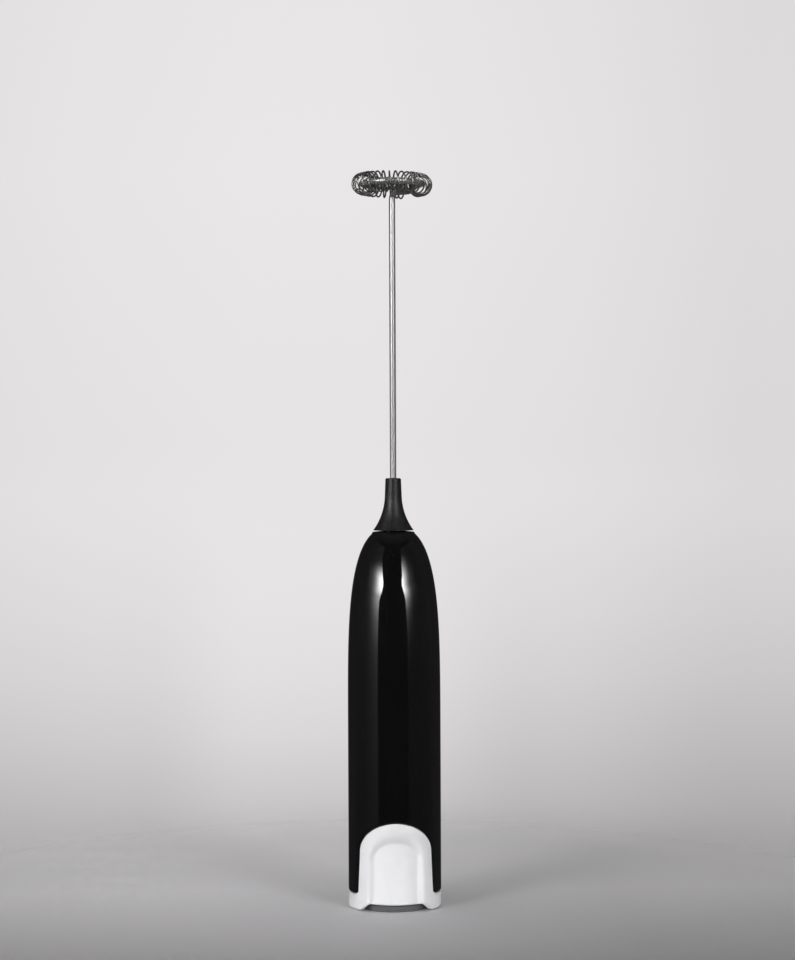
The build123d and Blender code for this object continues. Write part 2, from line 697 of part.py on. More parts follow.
def make_thrust_washers():
    with BuildPart() as thrust_washers:
        for z in (MOTOR_Z0 + 1.3, MOTOR_Z1 - CAN_T - 0.4):
            with BuildSketch(Plane.XY.offset(z)):
                Circle(2.0)
                Circle(SHAFT_R, mode=Mode.SUBTRACT)
            extrude(amount=0.3)
    write(thrust_washers, "thrust_washers")


# ---------------------------------------------------------------- whisk


def make_whisk_collar():
    taper = (COLLAR_WAIST_R - COLLAR_TOP_R) / (COLLAR_Z1 - COLLAR_WAIST_Z)
    slope = sqrt(1 + taper**2)
    arc_centre_x = COLLAR_WAIST_R + COLLAR_CURVE_R / slope
    arc_centre_z = COLLAR_WAIST_Z + COLLAR_CURVE_R * taper / slope
    foot_turn = degrees(asin((arc_centre_z - COLLAR_Z0) / COLLAR_CURVE_R) - asin(taper / slope))
    with BuildPart() as whisk_collar:
        with BuildSketch(Plane.XZ):
            with BuildLine():
                flank = Line((COLLAR_TOP_R, COLLAR_Z1), (COLLAR_WAIST_R, COLLAR_WAIST_Z))
                flare = JernArc(flank @ 1, flank % 1, COLLAR_CURVE_R, foot_turn)
                foot = Line(flare @ 1, (0, (flare @ 1).Y))
                Line(foot @ 1, (0, COLLAR_Z1))
                Line((0, COLLAR_Z1), flank @ 0)
            make_face()
        revolve(axis=Axis.Z)
        fillet(whisk_collar.edges().group_by(Axis.Z)[-1], 0.5)
        # Hollow skirt around a hub, motor shaft bore below, rod bore above.
        with BuildSketch(Plane.XZ):
            with BuildLine():
                Polyline(
                    (HUB_SKIRT_R, COLLAR_Z0 - 0.5),
                    (COLLAR_FOOT_R - 0.7, COLLAR_Z0 - 0.5),
                    (COLLAR_FOOT_R - 1.0, COLLAR_Z0),
                    (HUB_SKIRT_R, COLLAR_Z0 + 2.6),
                    close=True,
                )
            make_face()
        revolve(axis=Axis.Z, mode=Mode.SUBTRACT)
        with BuildSketch(Plane.XY.offset(COLLAR_Z0 - 0.5)):
            Circle(SHAFT_R)
        extrude(amount=SHAFT_Z1 - COLLAR_Z0 + 0.5, mode=Mode.SUBTRACT)
        with BuildSketch(Plane.XY.offset(ROD_Z0)):
            Circle(ROD_R)
        extrude(amount=20, mode=Mode.SUBTRACT)
    write(whisk_collar, "whisk_collar")


def ring_point(angle, radius=RING_R, z=RING_Z):
    """A point at an angle from +X towards +Y around the whisk's axis."""
    return Vector(radius * cos(radians(angle)), radius * sin(radians(angle)), z)


def make_whisk_shaft():
    """Rod, bend, spoke and ring in one wire."""
    lead = Vector(-sin(radians(RING_START)), cos(radians(RING_START)), 0)
    ring_start = ring_point(RING_START)
    corner_r = RING_R / cos(radians(SPOKE_ANGLE - RING_START))
    corners = [
        (0, 0, ROD_Z0),
        (0, 0, ROD_TOP_Z),
        ring_point(SPOKE_ANGLE, corner_r, SPOKE_END_Z),
        ring_start + lead * 1.6,
        ring_start,
    ]
    ring_middle = ring_point(RING_START - RING_SPAN / 2)
    ring_end = ring_point(RING_START - RING_SPAN)
    with BuildPart() as whisk_shaft:
        with BuildLine() as route:
            FilletPolyline(*corners, radius=[3.0, 2.0, 1.8])
            ThreePointArc(ring_start, ring_middle, ring_end)
        with BuildSketch(Plane.XY.offset(ROD_Z0)):
            Circle(ROD_R)
        sweep(path=route.line)
    write(whisk_shaft, "whisk_shaft")


def make_whisk_coil():
    """Closed loops around the ring, one for each turn, and small gripping loops at both ends."""
    with BuildPart() as whisk_coil:
        for turn in range(COIL_TURNS):
            angle = SPRING_START - SPRING_SPAN * turn / (COIL_TURNS - 1)
            around = Vector(-sin(radians(angle)), cos(radians(angle)), 0)
            loop_plane = Plane(origin=ring_point(angle), x_dir=(0, 0, 1), z_dir=around)
            with Locations(loop_plane.location):
                Torus(COIL_R, COIL_WIRE_R)
        for angle in (RING_START - GRIP_STEP, RING_START - RING_SPAN + GRIP_STEP):
            around = Vector(-sin(radians(angle)), cos(radians(angle)), 0)
            grip_plane = Plane(origin=ring_point(angle), x_dir=(0, 0, 1), z_dir=around)
            with Locations(grip_plane.location):
                Torus(ROD_R + COIL_WIRE_R + 0.02, COIL_WIRE_R)
    write(whisk_coil, "whisk_coil")


make_handle_shell()
make_thumb_button()
make_contact_bridge()
make_battery_frame()
make_cells()
make_lower_contacts()
make_upper_contacts()
make_springs()
make_pivot_pins()
make_motor_carrier()
make_carrier_screws()
make_motor_can()
make_motor_magnets()
make_motor_end_bell()
make_motor_bushings()
make_motor_terminals()
make_motor_brushes()
make_supply_strips()
make_nose_seal()
make_motor_shaft()
make_armature_core()
make_armature_windings()
make_commutator()
make_thrust_washers()
make_whisk_collar()
make_whisk_shaft()
make_whisk_coil()
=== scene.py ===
"""Looks of the milk frother: finished meshes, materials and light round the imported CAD. Metres, +Z up."""

import json
import math

import bmesh
import bpy
from mathutils import Matrix, Vector


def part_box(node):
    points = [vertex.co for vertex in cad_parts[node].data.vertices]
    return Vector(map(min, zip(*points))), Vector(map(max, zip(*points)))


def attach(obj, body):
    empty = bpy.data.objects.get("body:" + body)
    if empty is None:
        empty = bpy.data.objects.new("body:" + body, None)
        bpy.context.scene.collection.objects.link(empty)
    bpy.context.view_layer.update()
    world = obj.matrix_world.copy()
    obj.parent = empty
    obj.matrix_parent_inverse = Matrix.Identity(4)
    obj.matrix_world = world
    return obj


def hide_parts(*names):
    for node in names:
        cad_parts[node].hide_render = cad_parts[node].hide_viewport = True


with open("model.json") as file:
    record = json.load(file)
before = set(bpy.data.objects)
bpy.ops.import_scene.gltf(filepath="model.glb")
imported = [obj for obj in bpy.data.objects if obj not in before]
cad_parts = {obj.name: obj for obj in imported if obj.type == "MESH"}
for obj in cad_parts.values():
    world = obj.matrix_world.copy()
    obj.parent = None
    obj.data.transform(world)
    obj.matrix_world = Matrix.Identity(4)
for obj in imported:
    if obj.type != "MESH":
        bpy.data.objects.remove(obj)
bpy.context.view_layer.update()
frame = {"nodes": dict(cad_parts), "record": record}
MM = 0.001

# ---------------------------------------------------------------- sizes, in metres

BODY_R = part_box("handle_shell")[1].x
SHELL_Z0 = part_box("handle_shell")[0].z
LID_RISE = 0.3 * MM
SHELL_TOP_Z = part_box("handle_shell")[1].z - LID_RISE
SHELL_WALL = 1.3 * MM
NOSE_Z0 = 59.75 * MM
NOSE_LENGTH = 73.15 * MM
NOSE_ROUND = 3.93
NOSE_FULLNESS = 2.73
NOSE_CORNER_R = 0.7 * MM
NOSE_BORE_R = 2.62 * MM
SEAM_DEPTH = 0.012 * MM
SEAM_WIDTH = 0.09 * MM
SEAM_END = 3 * MM
SEAM_FADE = 10 * MM
BOSS_Y = 12.0 * MM
BOSS_R = 2.4 * MM
BOSS_BORE_R = 0.8 * MM
BOSS_EDGE = 0.2 * MM
BOSS_Z = (95.05 * MM, 106.45 * MM)

ARCH_W = 12.5 * MM
ARCH_FOOT_W = 13.1 * MM
ARCH_SPRING_Z = 20.85 * MM
ARCH_RISE = 10.4 * MM
ARCH_TOP_GAP = 0.08 * MM
ARCH_EDGE_ROUND = 0.12 * MM
CORNER_R = 1.3 * MM

FOOT_Z0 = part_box("thumb_button")[0].z
FOOT_H = 5.55 * MM
FOOT_ROUND = 0.95 * MM
EDGE_ROUND = 0.9 * MM
PAD_SIDE_GAP = 0.15 * MM
PAD_TOP_GAP = 0.2 * MM
PAD_TOP_ROUND = 0.15 * MM
PAD_WALL = 1.5 * MM
PAD_CORNER_R = 1.6 * MM
RECESS_DEPTH = 2.2 * MM
RECESS_MID_Z = 18.45 * MM
RECESS_OUTER = (10.3 * MM, 11.6 * MM)
RECESS_INNER = (7.2 * MM, 5.2 * MM)
NOTCH_Z = 2.2 * MM
NOTCH_CORNER_RISE = 0.4 * MM
NOTCH_CORNER_X = (7.0 * MM, 9.2 * MM)
LOBE_X = (9.2 * MM, 13.1 * MM)
FRONT_EDGE_X = (8.0 * MM, 12.0 * MM)
PIVOT_Y = -5.0 * MM
PRESS_ANGLE = math.radians(1.5)
LIP_R = 13.7 * MM
LIP_WALL = 1.1 * MM
LIP_HALF_W = 5 * MM
LIP_Z = (28.65 * MM, 33.25 * MM)
BRIDGE_Y = -9.6 * MM
BRIDGE_Z = 26.85 * MM
POST_SETBACK = 2 * MM
POST_W = 6 * MM
POST_H = 2.6 * MM

RING_Z = 252.75 * MM
RING_R = 10.4 * MM
COIL_R = 3.5 * MM
COIL_WIRE_R = 0.29 * MM
COIL_GRIP_R = 1.42 * MM
COIL_TURNS = 31
COIL_START = 38.0
COIL_SPAN = 334.0
COIL_SWAY = 0.06
COIL_CROWDING = 0.022
COIL_SAG = 0.26 * MM
COIL_END_SAG = 0.3 * MM
COIL_WOBBLE = 0.04 * MM
COIL_GRIP_TURNS = 0.8


# ---------------------------------------------------------------- node helpers


def clean_material(name):
    """A new node material and its Principled shader."""
    material = bpy.data.materials.new(name)
    material.use_nodes = True
    return material, material.node_tree, material.node_tree.nodes["Principled BSDF"]


def ramp_node(tree, value, stops, mode="LINEAR"):
    """Value looked up along (position, tone) stops, tone being a number or an RGB triple."""
    ramp = tree.nodes.new("ShaderNodeValToRGB")
    ramp.color_ramp.interpolation = mode
    for k, (place, tone) in enumerate(stops):
        element = ramp.color_ramp.elements[k] if k < 2 else ramp.color_ramp.elements.new(place)
        element.position = place
        element.color = (*tone, 1) if isinstance(tone, tuple) else (tone, tone, tone, 1)
    tree.links.new(value, ramp.inputs["Fac"])
    return ramp.outputs["Color"]


def map_range(tree, value, from_low, from_high, to_low=0.0, to_high=1.0, mode="LINEAR"):
    """Value stretched from one range onto another, and held at the ends."""
    node = tree.nodes.new("ShaderNodeMapRange")
    node.interpolation_type = mode
    node.inputs["From Min"].default_value = from_low
    node.inputs["From Max"].default_value = from_high
    node.inputs["To Min"].default_value = to_low
    node.inputs["To Max"].default_value = to_high
    tree.links.new(value, node.inputs["Value"])
    return node.outputs["Result"]


def math_node(tree, operation, first, second):
    """One arithmetic step on two sockets or numbers."""
    node = tree.nodes.new("ShaderNodeMath")
    node.operation = operation
    for socket, value in zip(node.inputs, (first, second)):
        if isinstance(value, (int, float)):
            socket.default_value = value
        else:
            tree.links.new(value, socket)
    return node.outputs[0]


def split_coords(tree, space):
    """X, Y and Z of a texture coordinate, as sockets by name."""
    coords = tree.nodes.new("ShaderNodeTexCoord")
    split = tree.nodes.new("ShaderNodeSeparateXYZ")
    tree.links.new(coords.outputs[space], split.inputs["Vector"])
    return split.outputs


def noise(tree, scale, detail=3.0, stretch=(1, 1, 1)):
    """Noise in object coordinates, so that a pattern keeps its real size."""
    coords = tree.nodes.new("ShaderNodeTexCoord")
    mapping = tree.nodes.new("ShaderNodeMapping")
    mapping.inputs["Scale"].default_value = stretch
    texture = tree.nodes.new("ShaderNodeTexNoise")
    texture.inputs["Scale"].default_value = scale
    texture.inputs["Detail"].default_value = detail
    tree.links.new(coords.outputs["Object"], mapping.inputs["Vector"])
    tree.links.new(mapping.outputs["Vector"], texture.inputs["Vector"])
    return texture.outputs["Fac"]


def spread(tree, value, low, high):
    """Maps a 0.3 to 0.7 noise onto low to high."""
    return map_range(tree, value, 0.3, 0.7, low, high)


def tint(tree, value, dark, light):
    """Colour between two close tones, led by a noise."""
    return ramp_node(tree, value, ((0.3, dark), (0.7, light)))


def bump(tree, value, height, shader):
    """Surface relief of a real height in metres."""
    node = tree.nodes.new("ShaderNodeBump")
    node.inputs["Strength"].default_value = 1.0
    node.inputs["Distance"].default_value = height
    tree.links.new(value, node.inputs["Height"])
    tree.links.new(node.outputs["Normal"], shader.inputs["Normal"])


def plastic(name, dark, light, rough_low, rough_high, grain, relief, stretch=(1, 1, 1)):
    """Moulded plastic: close tones, uneven gloss and a fine surface grain."""
    material, tree, shader = clean_material(name)
    fine = noise(tree, grain, 4.0, stretch)
    broad = noise(tree, grain / 12, 2.0)
    tree.links.new(tint(tree, broad, dark, light), shader.inputs["Base Color"])
    tree.links.new(spread(tree, fine, rough_low, rough_high), shader.inputs["Roughness"])
    bump(tree, fine, relief, shader)
    return material


def metal(name, dark, light, rough_low, rough_high, grain, stretch=(1, 1, 1), relief=0.000002, metallic=1.0,
          detail=5.0):
    """Drawn, rolled or turned metal with its marks along one direction."""
    material, tree, shader = clean_material(name)
    shader.inputs["Metallic"].default_value = metallic
    marks = noise(tree, grain, detail, stretch)
    tree.links.new(tint(tree, marks, dark, light), shader.inputs["Base Color"])
    tree.links.new(spread(tree, marks, rough_low, rough_high), shader.inputs["Roughness"])
    if relief:
        bump(tree, marks, relief, shader)
    return material


# ---------------------------------------------------------------- materials


def make_materials():
    """One material for each slot of the record, and one for the whisk's spring."""
    along_z = (1, 1, 0.02)
    around = (1, 1, 8)
    return {
        "shell_black": plastic("shell_black", (0.0018, 0.0018, 0.0020), (0.0024, 0.0024, 0.0026),
                               0.03, 0.05, 420, 0.0000004),
        "button_white": plastic("button_white", (0.80, 0.80, 0.815), (0.825, 0.825, 0.835),
                                0.30, 0.40, 2600, 0.000004),
        "collar_grey": plastic("collar_grey", (0.006, 0.006, 0.0068), (0.0078, 0.0078, 0.0086),
                               0.40, 0.50, 4200, 0.000010),
        "stainless_wire": metal("stainless_wire", (0.44, 0.435, 0.43), (0.48, 0.475, 0.47),
                                0.35, 0.37, 60, along_z, relief=0, metallic=0.9, detail=0),
        "coil_wire": metal("coil_wire", (0.27, 0.27, 0.26), (0.33, 0.325, 0.315),
                           0.36, 0.39, 60, relief=0, detail=0),
        "frame_plastic": plastic("frame_plastic", (0.092, 0.092, 0.095), (0.105, 0.105, 0.109),
                                 0.40, 0.52, 3000, 0.000010),
        "cell_steel": metal("cell_steel", (0.55, 0.55, 0.54), (0.66, 0.66, 0.65),
                            0.22, 0.34, 1500, around),
        "contact_nickel": metal("contact_nickel", (0.60, 0.58, 0.54), (0.70, 0.68, 0.63),
                                0.22, 0.36, 1300, (6, 1, 1)),
        "spring_steel": metal("spring_steel", (0.50, 0.50, 0.50), (0.62, 0.62, 0.61), 0.2, 0.3, 2000),
        "carrier_plastic": plastic("carrier_plastic", (0.60, 0.59, 0.55), (0.65, 0.64, 0.60),
                                   0.40, 0.52, 2400, 0.000010),
        "screw_steel": metal("screw_steel", (0.42, 0.42, 0.44), (0.55, 0.55, 0.56), 0.28, 0.42, 1600),
        "can_steel": metal("can_steel", (0.52, 0.52, 0.53), (0.62, 0.62, 0.62),
                           0.26, 0.40, 900, along_z),
        "magnet_ferrite": plastic("magnet_ferrite", (0.030, 0.030, 0.031), (0.045, 0.045, 0.046),
                                  0.55, 0.75, 3500, 0.000015),
        "bell_plastic": plastic("bell_plastic", (0.72, 0.70, 0.63), (0.77, 0.75, 0.69),
                                0.38, 0.50, 2600, 0.000008),
        "bushing_bronze": metal("bushing_bronze", (0.42, 0.29, 0.13), (0.55, 0.39, 0.19),
                                0.35, 0.52, 4200),
        "brush_graphite": plastic("brush_graphite", (0.035, 0.032, 0.030), (0.060, 0.052, 0.045),
                                  0.45, 0.65, 4000, 0.000012),
        "terminal_brass": metal("terminal_brass", (0.62, 0.46, 0.18), (0.74, 0.57, 0.25),
                                0.24, 0.38, 1400, (1, 6, 1)),
        "seal_rubber": plastic("seal_rubber", (0.012, 0.012, 0.012), (0.018, 0.018, 0.018),
                               0.60, 0.75, 3200, 0.000012),
        "shaft_steel": metal("shaft_steel", (0.54, 0.54, 0.56), (0.64, 0.64, 0.65),
                             0.12, 0.22, 2600, around),
        "core_steel": laminated("core_steel"),
        "winding_copper": metal("winding_copper", (0.46, 0.17, 0.06), (0.62, 0.27, 0.11),
                                0.22, 0.36, 900, (1, 1, 9), 0.00003),
        "commutator_copper": metal("commutator_copper", (0.58, 0.30, 0.16), (0.70, 0.40, 0.23),
                                   0.2, 0.34, 1800, around),
        "washer_nylon": plastic("washer_nylon", (0.64, 0.61, 0.53), (0.70, 0.67, 0.59),
                                0.42, 0.55, 2600, 0.000008),
        "cell_sleeve": sleeve("cell_sleeve"),
    }


def laminated(name):
    """Stacked steel sheets, half a millimetre each."""
    material, tree, shader = clean_material(name)
    shader.inputs["Metallic"].default_value = 1.0
    coords = tree.nodes.new("ShaderNodeTexCoord")
    bands = tree.nodes.new("ShaderNodeTexWave")
    bands.bands_direction = "Z"
    bands.inputs["Scale"].default_value = 310
    bands.inputs["Distortion"].default_value = 0.0
    tree.links.new(coords.outputs["Object"], bands.inputs["Vector"])
    steel = tint(tree, bands.outputs["Fac"], (0.16, 0.16, 0.17), (0.34, 0.34, 0.36))
    tree.links.new(steel, shader.inputs["Base Color"])
    tree.links.new(spread(tree, noise(tree, 2500), 0.35, 0.5), shader.inputs["Roughness"])
    bump(tree, bands.outputs["Fac"], 0.00004, shader)
    return material


def sleeve(name):
    """Shrink sleeve of a cell: slate blue with a plain pale band at the top, no print."""
    material, tree, shader = clean_material(name)
    low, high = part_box("battery_sleeve_left")
    height = map_range(tree, split_coords(tree, "Object")["Z"], low.z, high.z)
    band = ramp_node(tree, height, ((0.0, (0.028, 0.045, 0.075)), (0.8, (0.42, 0.43, 0.45))), "CONSTANT")
    tree.links.new(band, shader.inputs["Base Color"])
    film = noise(tree, 900)
    tree.links.new(spread(tree, film, 0.22, 0.34), shader.inputs["Roughness"])
    bump(tree, film, 0.000006, shader)
    return material


# ---------------------------------------------------------------- mesh helpers


def add_object(name, data):
    """A new object of the scene."""
    piece = bpy.data.objects.new(name, data)
    bpy.context.scene.collection.objects.link(piece)
    return piece


def mesh_object(name, verts, faces, material):
    """A smooth-shaded object from points and faces."""
    mesh = bpy.data.meshes.new(name)
    mesh.from_pydata(verts, [], faces)
    mesh.update()
    for polygon in mesh.polygons:
        polygon.use_smooth = True
    mesh.materials.append(material)
    return add_object(name, mesh)


def swept_faces(strips, rows, closed_rows=False):
    """Faces between strips of points that follow each other round a closed loop."""
    faces = []
    for c in range(strips):
        after = (c + 1) % strips
        for r in range(rows if closed_rows else rows - 1):
            up = (r + 1) % rows
            faces.append((c * rows + r, after * rows + r, after * rows + up, c * rows + up))
    return faces


def thicken(piece, thickness):
    """Gives a skin a wall on its inner side."""
    wall = piece.modifiers.new("wall", "SOLIDIFY")
    wall.thickness = thickness
    wall.offset = -1
    graph = bpy.context.evaluated_depsgraph_get()
    made = bpy.data.meshes.new_from_object(piece.evaluated_get(graph))
    piece.modifiers.clear()
    piece.data = made


def lathe(name, outline, centre, material, steps=40):
    """Turned piece: a closed outline of (radius, height) swept round an upright axis at centre."""
    verts = []
    for k in range(steps):
        angle = 2 * math.pi * k / steps
        verts += [(centre[0] + r * math.cos(angle), centre[1] + r * math.sin(angle), z) for r, z in outline]
    return mesh_object(name, verts, swept_faces(steps, len(outline), closed_rows=True), material)


def ease(t):
    """Smooth step from 0 to 1."""
    t = min(max(t, 0.0), 1.0)
    return t * t * (3 - 2 * t)


def ease_between(value, limits):
    """Smooth step from 0 at the lower limit to 1 at the upper one."""
    return ease((value - limits[0]) / (limits[1] - limits[0]))


def round_in(distance, radius):
    """How far a rounded edge pulls the surface in, at a distance from its end."""
    if distance >= radius:
        return 0.0
    return radius - math.sqrt(max(radius**2 - (radius - distance) ** 2, 0.0))


# ---------------------------------------------------------------- arch outline


def arch_curve(gap_side, gap_top, corner_r, rest_z, pitch=0.35 * MM):
    """Border from the arch's top down its flank, round the corner and along the foot, as (x, z).

    x grows along the border up to where the flank has turned into the level edge at rest_z.
    """
    half_w = ARCH_W + gap_side
    flare = (ARCH_FOOT_W - ARCH_W) / (ARCH_SPRING_Z - SHELL_Z0)
    points = []
    steps = int(half_w * 1.5 / pitch)
    for k in range(steps + 1):
        angle = math.pi / 2 * k / steps
        points.append((half_w * math.sin(angle), ARCH_SPRING_Z + (ARCH_RISE + gap_top) * math.cos(angle)))
    corner_top_z = rest_z + corner_r
    steps = int((ARCH_SPRING_Z - corner_top_z) / pitch)
    for k in range(1, steps + 1):
        z = ARCH_SPRING_Z + (corner_top_z - ARCH_SPRING_Z) * k / steps
        points.append((half_w + flare * (ARCH_SPRING_Z - z), z))
    corner_x = points[-1][0]
    steps = 8
    for k in range(1, steps + 1):
        angle = math.pi / 2 * k / steps
        turned = corner_x + corner_r * (1 - math.cos(angle))
        points.append((turned, corner_top_z - corner_r * math.sin(angle)))
    return points


def border_columns(points, back_steps, extra_x=()):
    """(angle from the front, height) round the body: the border on both sides, level round the back."""
    front = sorted(set(points) | {(x, points[0][1]) for x in extra_x})
    half = [(math.asin(min(x / BODY_R, 1.0)), z) for x, z in front]
    first, rest_z = half[-1]
    for k in range(1, back_steps + 1):
        half.append((first + (math.pi - first) * k / back_steps, rest_z))
    left = [(-angle, z) for angle, z in half[1:-1]]
    return half + left[::-1]


# ---------------------------------------------------------------- handle shell


def nose_radius(z):
    """Radius of the shell at a height: straight, then closing in to the nose."""
    rise = max(z - NOSE_Z0, 0) / NOSE_LENGTH
    return BODY_R * (1 - rise**NOSE_ROUND) ** (1 / NOSE_FULLNESS)


def seam(angle, z):
    """Change of radius at the fine parting line that runs up the front and the back of the shell."""
    offset = BODY_R * math.sin(angle)
    fade_out = ease((SHELL_TOP_Z - SEAM_END - z) / SEAM_FADE)
    return -SEAM_DEPTH * math.exp(-((offset / SEAM_WIDTH) ** 2)) * fade_out


def make_handle_shell(material):
    """Skin of the handle with its arch and a rounded nose, and the two screw bosses inside it."""
    seam_x = [step * 0.06 * MM for step in range(1, 5)]
    border = arch_curve(PAD_SIDE_GAP, ARCH_TOP_GAP, CORNER_R, SHELL_Z0)
    columns = border_columns(border, 96, seam_x)
    corner_z = SHELL_TOP_Z - NOSE_CORNER_R
    shoulder_r = nose_radius(corner_z)
    verts = []
    straight_rows, nose_rows, shoulder_rows = 34, 72, 8
    for angle, start_z in columns:
        column = []
        for k in range(straight_rows):
            z = start_z + (NOSE_Z0 - start_z) * (k / straight_rows) ** 1.3
            column.append((BODY_R - round_in(z - start_z, ARCH_EDGE_ROUND) + seam(angle, z), z))
        for k in range(nose_rows + 1):
            z = NOSE_Z0 + (corner_z - NOSE_Z0) * math.sin(math.pi / 2 * k / nose_rows)
            column.append((nose_radius(z) + seam(angle, z), z))
        slope = 0.62
        for k in range(1, shoulder_rows + 1):
            turn = slope + (math.pi / 2 - slope) * k / shoulder_rows
            z = corner_z + NOSE_CORNER_R * (math.sin(turn) - math.sin(slope)) / (1 - math.sin(slope))
            column.append((shoulder_r - NOSE_CORNER_R * (math.cos(slope) - math.cos(turn)), z))
        lid_r = column[-1][0]
        for share in (0.15, 0.35, 0.6, 0.8, 0.96, 1.0):
            rise = LID_RISE * math.sin(math.pi / 2 * share)
            column.append((lid_r + (NOSE_BORE_R - lid_r) * share, SHELL_TOP_Z + rise))
        verts += [(r * math.sin(angle), -r * math.cos(angle), z) for r, z in column]
    faces = swept_faces(len(columns), len(verts) // len(columns))
    shell = mesh_object("handle_casing", verts, faces, material)
    thicken(shell, SHELL_WALL)
    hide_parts("handle_shell")
    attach(shell, "handle")
    for name, y in (("screw_boss_front", -BOSS_Y), ("screw_boss_rear", BOSS_Y)):
        low, high = BOSS_Z
        outline = [(BOSS_BORE_R, low), (BOSS_R - BOSS_EDGE, low), (BOSS_R, low + BOSS_EDGE), (BOSS_R, high),
                   (BOSS_BORE_R, high)]
        boss = lathe(name, outline, (0, y), material)
        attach(boss, "handle")


# ---------------------------------------------------------------- thumb button


def recess_share(x, z):
    """0 on the raised rim, 1 on the floor of the thumb recess, easing across its soft wall."""
    if z > RECESS_MID_Z:
        outer = math.hypot(x / RECESS_OUTER[0], (z - RECESS_MID_Z) / RECESS_OUTER[1])
        inner = math.hypot(x / RECESS_INNER[0], (z - RECESS_MID_Z) / RECESS_INNER[1])
    else:
        outer = abs(x) / RECESS_OUTER[0]
        inner = abs(x) / RECESS_INNER[0]
    if outer >= 1:
        return 0.0
    if inner <= 1:
        return 1.0
    return ease((1 - outer) / ((1 - outer) + (inner - 1)))


def foot_edge(x):
    """Lower edge of the front: a notch under the recess, higher at its corners, and a lobe on each side."""
    notch = NOTCH_Z + NOTCH_CORNER_RISE * ease_between(abs(x), NOTCH_CORNER_X)
    return FOOT_Z0 + notch * (1 - ease_between(abs(x), LOBE_X))


def rear_edge(y):
    """Underside of the ring behind the pivots, cut up so that the ring can turn on a flat surface."""
    return FOOT_Z0 + max(y - PIVOT_Y, 0.0) * math.tan(PRESS_ANGLE)


def make_thumb_button(material, lip_painted_shade):
    """Foot ring and thumb pad as one moulding, with the lip and the post behind the pad; the lip is drawn
    black, a painted shadow in the slot above the pad.
    """
    border = arch_curve(-PAD_SIDE_GAP, -PAD_TOP_GAP, PAD_CORNER_R, FOOT_H, 0.3 * MM)
    columns = border_columns(border, 84)
    rows = 110
    verts = []
    for angle, top_z in columns:
        x0 = BODY_R * math.sin(angle)
        front = math.cos(angle) > 0
        low_z = max(foot_edge(x0) if front else FOOT_Z0, rear_edge(-BODY_R * math.cos(angle)))
        foot_round = FOOT_ROUND
        if front:
            foot_round += (EDGE_ROUND - FOOT_ROUND) * (1 - ease_between(abs(x0), FRONT_EDGE_X))
        for k in range(rows):
            share = k / (rows - 1)
            share = 0.5 * share + 0.5 * ease(share)
            z = low_z + (top_z - low_z) * share
            x, y = x0, -BODY_R * math.cos(angle)
            if front:
                radius = BODY_R - RECESS_DEPTH * recess_share(x0, z)
                if radius < BODY_R:
                    y = -math.sqrt(max(radius**2 - x**2, 0.0))
            pull = round_in(z - low_z, foot_round) + round_in(top_z - z, PAD_TOP_ROUND)
            shrink = 1 - pull / BODY_R
            verts.append((x * shrink, y * shrink, z))
    button = mesh_object("thumb_button_moulding", verts, swept_faces(len(columns), rows), material)
    thicken(button, PAD_WALL)
    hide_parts("thumb_button")
    # The lip belongs to the white moulding but gets the shell's black: painted shadow in the slot between
    # pad and shell.
    lip = make_lip(lip_painted_shade)
    post_front = -BODY_R + POST_SETBACK
    post = bevelled_box("thumb_button_post", (0, (BRIDGE_Y + post_front) / 2, BRIDGE_Z),
                        (POST_W, BRIDGE_Y - post_front, POST_H), 0.3 * MM, material)
    for piece, slot in ((button, "button_white"), (lip, "shell_black"), (post, "button_white")):
        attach(piece, "thumb_button")


def make_lip(material):
    """Tongue at the top of the pad that hooks behind the edge of the shell."""
    low, high = LIP_Z
    inner = LIP_R - LIP_WALL
    root_r = LIP_R + 0.6 * MM
    outline = [(inner, low), (root_r, low), (root_r, low + 0.9 * MM), (LIP_R, low + 1.3 * MM),
               (LIP_R, high - 0.4 * MM), (LIP_R - 0.4 * MM, high), (inner, high)]
    half_turn = math.asin(LIP_HALF_W / LIP_R)
    steps = 16
    verts, faces = [], []
    for k in range(steps + 1):
        angle = -half_turn + 2 * half_turn * k / steps
        verts += [(r * math.sin(angle), -r * math.cos(angle), z) for r, z in outline]
    count = len(outline)
    for k in range(steps):
        for r in range(count):
            up = (r + 1) % count
            faces.append((k * count + r, (k + 1) * count + r, (k + 1) * count + up, k * count + up))
    faces += [tuple(reversed(range(count))), tuple(steps * count + r for r in range(count))]
    lip = mesh_object("thumb_button_lip", verts, faces, material)
    for polygon in lip.data.polygons:
        polygon.use_smooth = False
    return lip


def bevelled_box(name, centre, size, bevel, material):
    """A box with rounded edges."""
    shape = bmesh.new()
    bmesh.ops.create_cube(shape, size=1.0)
    bmesh.ops.scale(shape, vec=size, verts=shape.verts)
    bmesh.ops.bevel(shape, geom=shape.edges, offset=bevel, segments=3, affect="EDGES", profile=0.5)
    bmesh.ops.translate(shape, vec=centre, verts=shape.verts)
    mesh = bpy.data.meshes.new(name)
    shape.to_mesh(mesh)
    shape.free()
    mesh.materials.append(material)
    return add_object(name, mesh)


# ---------------------------------------------------------------- whisk coil


def coil_angle(share):
    """Where the spring has got to round the ring, in degrees: wide turns in front, crowded at its end."""
    front = COIL_START + 90
    sway = math.degrees(COIL_SWAY)
    swept = COIL_SPAN * share + sway * math.sin(math.radians(COIL_SPAN * share - front))
    start = -sway * math.sin(math.radians(front))
    whole = COIL_SPAN + sway * math.sin(math.radians(COIL_SPAN - front)) - start
    reach = (swept - start) / whole
    crowded = reach + COIL_CROWDING * (ease_between(reach, (0.80, 0.94)) - ease_between(reach, (0.94, 1.0)))
    return COIL_START - COIL_SPAN * crowded


